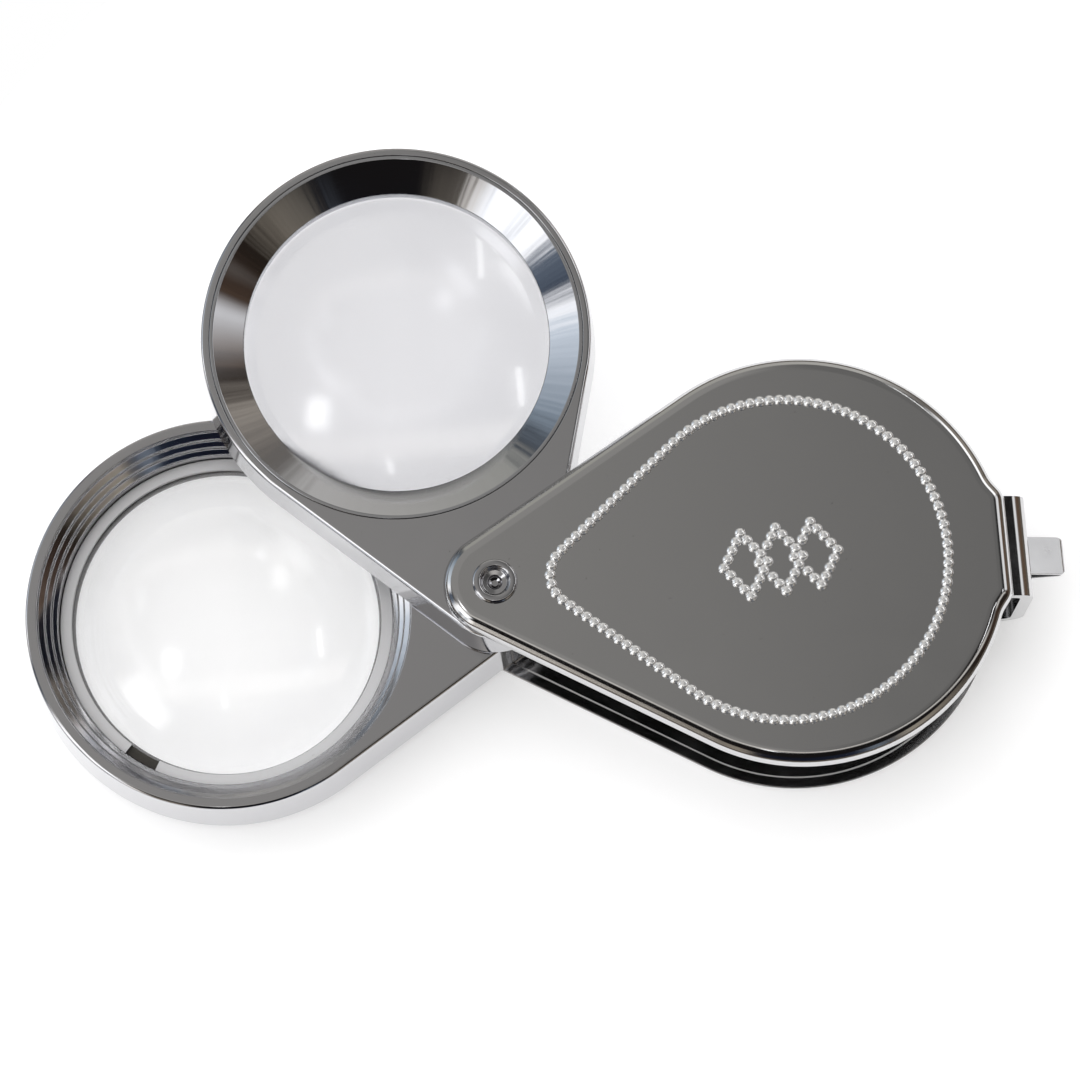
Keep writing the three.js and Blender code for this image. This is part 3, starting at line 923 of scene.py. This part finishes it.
def addSoftBox(tree, place, colour, box):  # lays one box over the colours so far
    direction, wide, tall, roll, blur, shade, strength = box
    aim = Vector(direction).normalized()
    across = Vector((0, 0, 1)).cross(aim).normalized()
    upward = aim.cross(across)
    lean = math.radians(roll)
    sides = [across * math.cos(lean) + upward * math.sin(lean),
             upward * math.cos(lean) - across * math.sin(lean)]
    mask = None
    for side, half in zip(sides, (wide, tall)):
        reach = math.sin(math.radians(half))
        soft = math.sin(math.radians(blur))
        part = addNode(tree, "ShaderNodeVectorMath", {"operation": "DOT_PRODUCT", 1: side},
                       {0: (place, "Generated")})
        spread = addNode(tree, "ShaderNodeMath", {"operation": "ABSOLUTE"},
                         {0: (part, "Value")})
        inside = addNode(tree, "ShaderNodeMapRange",
                         {"From Min": reach + soft, "From Max": reach - soft,
                          "interpolation_type": "SMOOTHSTEP"}, {"Value": (spread, "Value")})
        mask = inside if mask is None else addNode(
            tree, "ShaderNodeMath", {"operation": "MULTIPLY"},
            {0: (mask, 0), 1: (inside, "Result")})
    facing = addNode(tree, "ShaderNodeVectorMath", {"operation": "DOT_PRODUCT", 1: aim},
                     {0: (place, "Generated")})
    front = addNode(tree, "ShaderNodeMath", {"operation": "GREATER_THAN", 1: room["boxFacing"]},
                    {0: (facing, "Value")})
    mask = addNode(tree, "ShaderNodeMath", {"operation": "MULTIPLY"},
                   {0: (mask, 0), 1: (front, "Value")})
    bright = [part * strength for part in fromHex(shade)[:3]] + [1]
    return addNode(tree, "ShaderNodeMix", {"data_type": "RGBA", 7: bright},
                   {0: (mask, "Value"), 6: (colour, 2)})


# The room by direction: grey overhead, a band of varied things round the horizon with dark
# above it, a bench below it, and a few bright soft boxes
def makeRoom():
    world = bpy.data.worlds.new("studioRoom")
    bpy.context.scene.world = world
    world.use_nodes = True
    tree = world.node_tree
    background = tree.nodes["Background"]
    place = addNode(tree, "ShaderNodeTexCoord")
    axes = addNode(tree, "ShaderNodeSeparateXYZ", {}, {"Vector": (place, "Generated")})
    lifted = addNode(tree, "ShaderNodeVectorMath",
                     {"operation": "DOT_PRODUCT", 1: room["overheadTilt"]},
                     {0: (place, "Generated")})  # the grey reaches further down to the north
    height = addNode(tree, "ShaderNodeMapRange",
                     {"From Min": room["overheadStart"], "From Max": room["overheadFull"],
                      "interpolation_type": "SMOOTHSTEP"}, {"Value": (lifted, "Value")})
    cloud = addNode(tree, "ShaderNodeTexNoise", {"Scale": room["cloudScale"], "Detail": 2.0},
                    {"Vector": (place, "Generated")})
    drift = addNode(tree, "ShaderNodeMath",
                    {"operation": "MULTIPLY_ADD", 1: room["cloudDrift"]},
                    {0: (cloud, "Fac"), 2: (axes, "X")})
    across = addNode(tree, "ShaderNodeMapRange",
                     {"From Min": room["westEdge"], "From Max": room["eastEdge"]},
                     {"Value": (drift, "Value")})
    overhead = addNode(tree, "ShaderNodeMix",
                       {"data_type": "RGBA", 6: fromHex(room["overheadWest"]),
                        7: fromHex(room["overheadEast"])}, {0: (across, "Result")})
    colour = addNode(tree, "ShaderNodeMix", {"data_type": "RGBA", 6: fromHex(room["dark"])},
                     {0: (height, "Result"), 7: (overhead, 2)})
    bearing = addNode(tree, "ShaderNodeMath", {"operation": "ARCTAN2"},
                      {0: (axes, "Y"), 1: (axes, "X")})
    turn = addNode(tree, "ShaderNodeMapRange",
                   {"From Min": -math.pi, "From Max": math.pi, "To Min": 0.0, "To Max": 1.0},
                   {"Value": (bearing, "Value")})
    stray = addNode(tree, "ShaderNodeTexNoise",
                    {"Scale": room["strayScale"], "Detail": 4.0, "Roughness": 0.75},
                    {"Vector": (place, "Generated")})
    shifted = addNode(tree, "ShaderNodeMath",
                      {"operation": "MULTIPLY_ADD", 1: room["strayDrift"]},
                      {0: (stray, "Fac"), 2: (turn, "Result")})
    centred = addNode(tree, "ShaderNodeMath",
                      {"operation": "SUBTRACT", 1: room["strayDrift"] / 2},
                      {0: (shifted, "Value")})
    ramp = addNode(tree, "ShaderNodeValToRGB", {}, {"Fac": (centred, "Value")})
    stops = ramp.color_ramp.elements
    for position, shade in horizon[1:-1]:
        stops.new(position)
    for stop, (position, shade) in zip(stops, horizon):
        stop.color = [part * room["horizonStrength"] for part in fromHex(shade)[:3]] + [1]
    lowBand = addNode(tree, "ShaderNodeMapRange",
                      {"From Min": room["horizonTop"], "From Max": room["horizonFull"],
                       "interpolation_type": "SMOOTHSTEP"}, {"Value": (axes, "Z")})
    colour = addNode(tree, "ShaderNodeMix", {"data_type": "RGBA"},
                     {0: (lowBand, "Result"), 6: (colour, 2), 7: (ramp, "Color")})
    below = addNode(tree, "ShaderNodeMapRange",
                    {"From Min": room["benchTop"], "From Max": room["benchFull"]},
                    {"Value": (axes, "Z")})
    colour = addNode(tree, "ShaderNodeMix", {"data_type": "RGBA", 7: fromHex(room["bench"])},
                     {0: (below, "Result"), 6: (colour, 2)})
    for box in softBoxes:
        colour = addSoftBox(tree, place, colour, box)
    path = addNode(tree, "ShaderNodeLightPath")
    backdrop = addNode(tree, "ShaderNodeMix",
                       {"data_type": "RGBA", 7: fromHex(room["backdrop"])},
                       {0: (path, "Is Camera Ray"), 6: (colour, 2)})
    tree.links.new(backdrop.outputs[2], background.inputs["Color"])


makeRoom()


def makeSky():  # broad soft light from above, kept out of reflections
    data = bpy.data.lights.new("softSky", "SUN")
    data.energy = studio["skyStrength"]
    data.color = fromHex(studio["skyColour"])[:3]
    data.angle = math.radians(studio["skySpread"])
    sky = bpy.data.objects.new("softSky", data)
    bpy.context.scene.collection.objects.link(sky)
    sky.location = studio["skyFrom"]
    sky.rotation_euler = (-Vector(studio["skyFrom"])).to_track_quat("-Z", "Y").to_euler()
    sky.visible_glossy = False
    sky.visible_transmission = False


makeSky()
print("studio ready")


camera = {
    "azimuth": -4.5, "elevation": 78.5, "distance": 0.32, "lens": 158.1, "sensor": 36,
    "clipStart": 0.01, "clipEnd": 10, "aim": (-0.01749, 0.0026, 0.0124),
}


def makeCamera():
    data = bpy.data.cameras.new("viewCamera")
    data.lens = camera["lens"]
    data.sensor_width = camera["sensor"]
    eye = bpy.data.objects.new("viewCamera", data)
    bpy.context.scene.collection.objects.link(eye)
    around, up = math.radians(camera["azimuth"]), math.radians(camera["elevation"])
    back = Vector((
        math.sin(around) * math.cos(up), -math.cos(around) * math.cos(up), math.sin(up),
    ))
    eye.location = Vector(camera["aim"]) + back * camera["distance"]
    eye.rotation_mode = "QUATERNION"
    eye.rotation_quaternion = (-back).to_track_quat("-Z", "Y")
    data.clip_start, data.clip_end = camera["clipStart"], camera["clipEnd"]
    bpy.context.scene.camera = eye


makeCamera()
bpy.context.scene.view_settings.view_transform = "Standard"
bpy.context.scene.view_settings.look = "None"

low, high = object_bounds()
print("scene ready")
